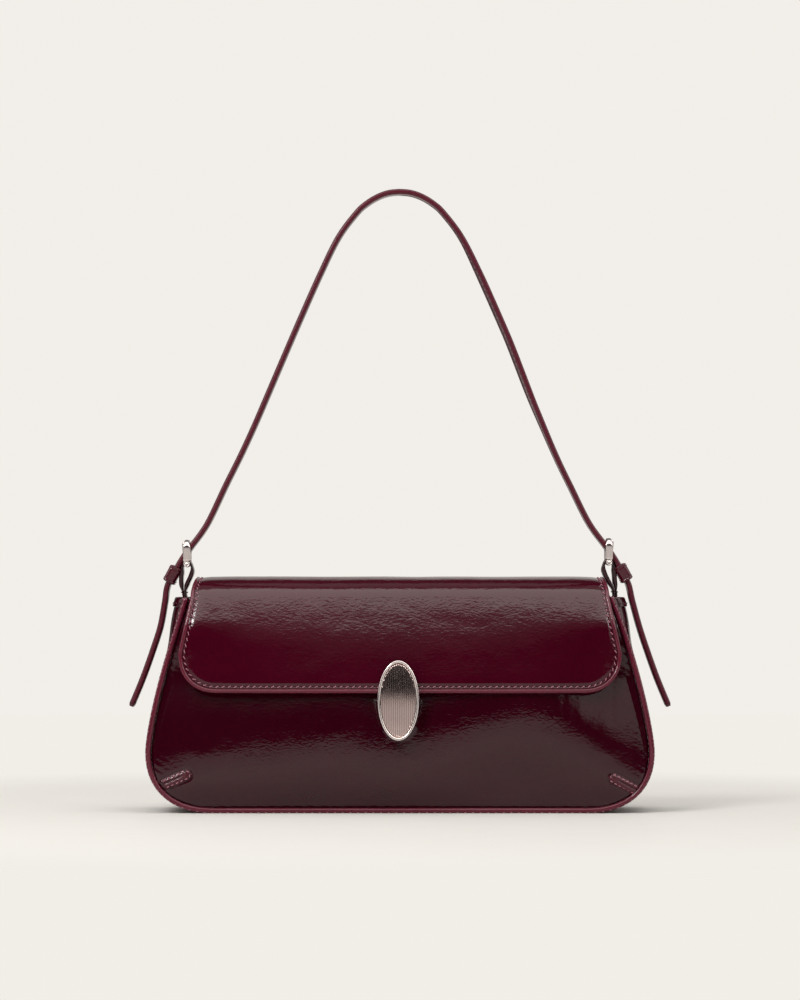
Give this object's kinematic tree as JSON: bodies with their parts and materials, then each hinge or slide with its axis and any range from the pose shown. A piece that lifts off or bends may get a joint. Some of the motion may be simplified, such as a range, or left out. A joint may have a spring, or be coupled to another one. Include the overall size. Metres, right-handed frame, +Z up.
{
  "type": "flap shoulder bag",
  "caption": "Small leather shoulder bag with a rolled flap, an oval magnetic plate closure and a narrow strap buckled at each side.",
  "frame": {"origin": "centre of the bag's flat base, on the surface that it stands on", "axes": "+X to the right as seen from the front, +Y towards the back of the bag, +Z up"},
  "size_m": [0.3012, 0.0788, 0.3456],
  "materials": {
    "patent_leather": "glossy patent leather",
    "patent_trim": "glossy patent leather",
    "lining_cloth": "matt woven lining",
    "stiffener": "matt stiffening board",
    "nickel": "polished nickel plating",
    "magnet": "sintered magnet"
  },
  "bodies": {
    "bag": {"front_panel": "patent_leather", "back_panel": "patent_leather", "base_panel": "patent_leather", "left_gusset": "patent_leather", "right_gusset": "patent_leather", "front_piping": "patent_trim", "back_piping": "patent_trim", "left_gusset_band": "patent_trim", "right_gusset_band": "patent_trim", "base_board": "stiffener", "left_anchor_pad": "stiffener", "right_anchor_pad": "stiffener", "lining": "lining_cloth", "front_facing": "patent_leather", "back_facing": "patent_leather", "slip_pocket": "lining_cloth", "striker_plate": "nickel", "striker_washer": "nickel"},
    "flap_top": {"flap_top_leather": "patent_leather", "flap_top_lining": "lining_cloth", "flap_top_edging": "patent_trim"},
    "flap_front": {"flap_front_leather": "patent_leather", "flap_front_board": "stiffener", "flap_front_lining": "lining_cloth", "flap_front_edging": "patent_trim", "closure_rim": "nickel", "fluted_plate": "nickel", "closure_backing": "nickel", "closure_screws": "nickel", "magnet_cup": "nickel", "magnet": "magnet"},
    "strap": {"strap_leather": "patent_trim", "strap_lining": "patent_trim", "left_chape": "patent_trim", "right_chape": "patent_trim"},
    "left_buckle": {"left_buckle_frame": "nickel", "left_heel_bar": "nickel"},
    "right_buckle": {"right_buckle_frame": "nickel", "right_heel_bar": "nickel"},
    "left_prong": {"left_prong": "nickel"},
    "right_prong": {"right_prong": "nickel"},
    "left_keeper": {"left_keeper": "patent_leather"},
    "right_keeper": {"right_keeper": "patent_leather"}
  },
  "joints": [
    {"name": "flap_hinge", "type": "hinge", "parent": "bag", "child": "flap_top", "pos_m": [0, 0.019, 0.1197], "axis": [-1, 0, 0], "range_deg": [0, 60]},
    {"name": "flap_fold", "type": "hinge", "parent": "flap_top", "child": "flap_front", "pos_m": [0, -0.0178, 0.1257], "axis": [-1, 0, 0], "range_deg": [0, 100]},
    {"name": "strap_swing", "type": "hinge", "parent": "bag", "child": "strap", "pos_m": [0, 0, 0.112], "axis": [-1, 0, 0], "range_deg": [0, 45]},
    {"name": "left_buckle_swing", "type": "hinge", "parent": "strap", "child": "left_buckle", "pos_m": [-0.1175, 0, 0.1369], "axis": [0, -1, 0], "range_deg": [0, 8]},
    {"name": "right_buckle_swing", "type": "hinge", "parent": "strap", "child": "right_buckle", "pos_m": [0.1175, 0, 0.1369], "axis": [0, 1, 0], "range_deg": [0, 8]},
    {"name": "left_prong_swing", "type": "hinge", "parent": "left_buckle", "child": "left_prong", "pos_m": [-0.1175, 0, 0.1369], "axis": [0, -1, 0], "range_deg": [0, 8]},
    {"name": "right_prong_swing", "type": "hinge", "parent": "right_buckle", "child": "right_prong", "pos_m": [0.1175, 0, 0.1369], "axis": [0, 1, 0], "range_deg": [0, 8]},
    {"name": "left_keeper_slide", "type": "slide", "parent": "strap", "child": "left_keeper", "axis": [-0.4699, 0, -0.8827], "range_m": [-0.001, 0.001]},
    {"name": "right_keeper_slide", "type": "slide", "parent": "strap", "child": "right_keeper", "axis": [0.4699, 0, -0.8827], "range_m": [-0.001, 0.001]}
  ],
  "couplings": [
    {"joint": "strap_swing", "follows": "flap_hinge", "ratio": 0.75}
  ]
}
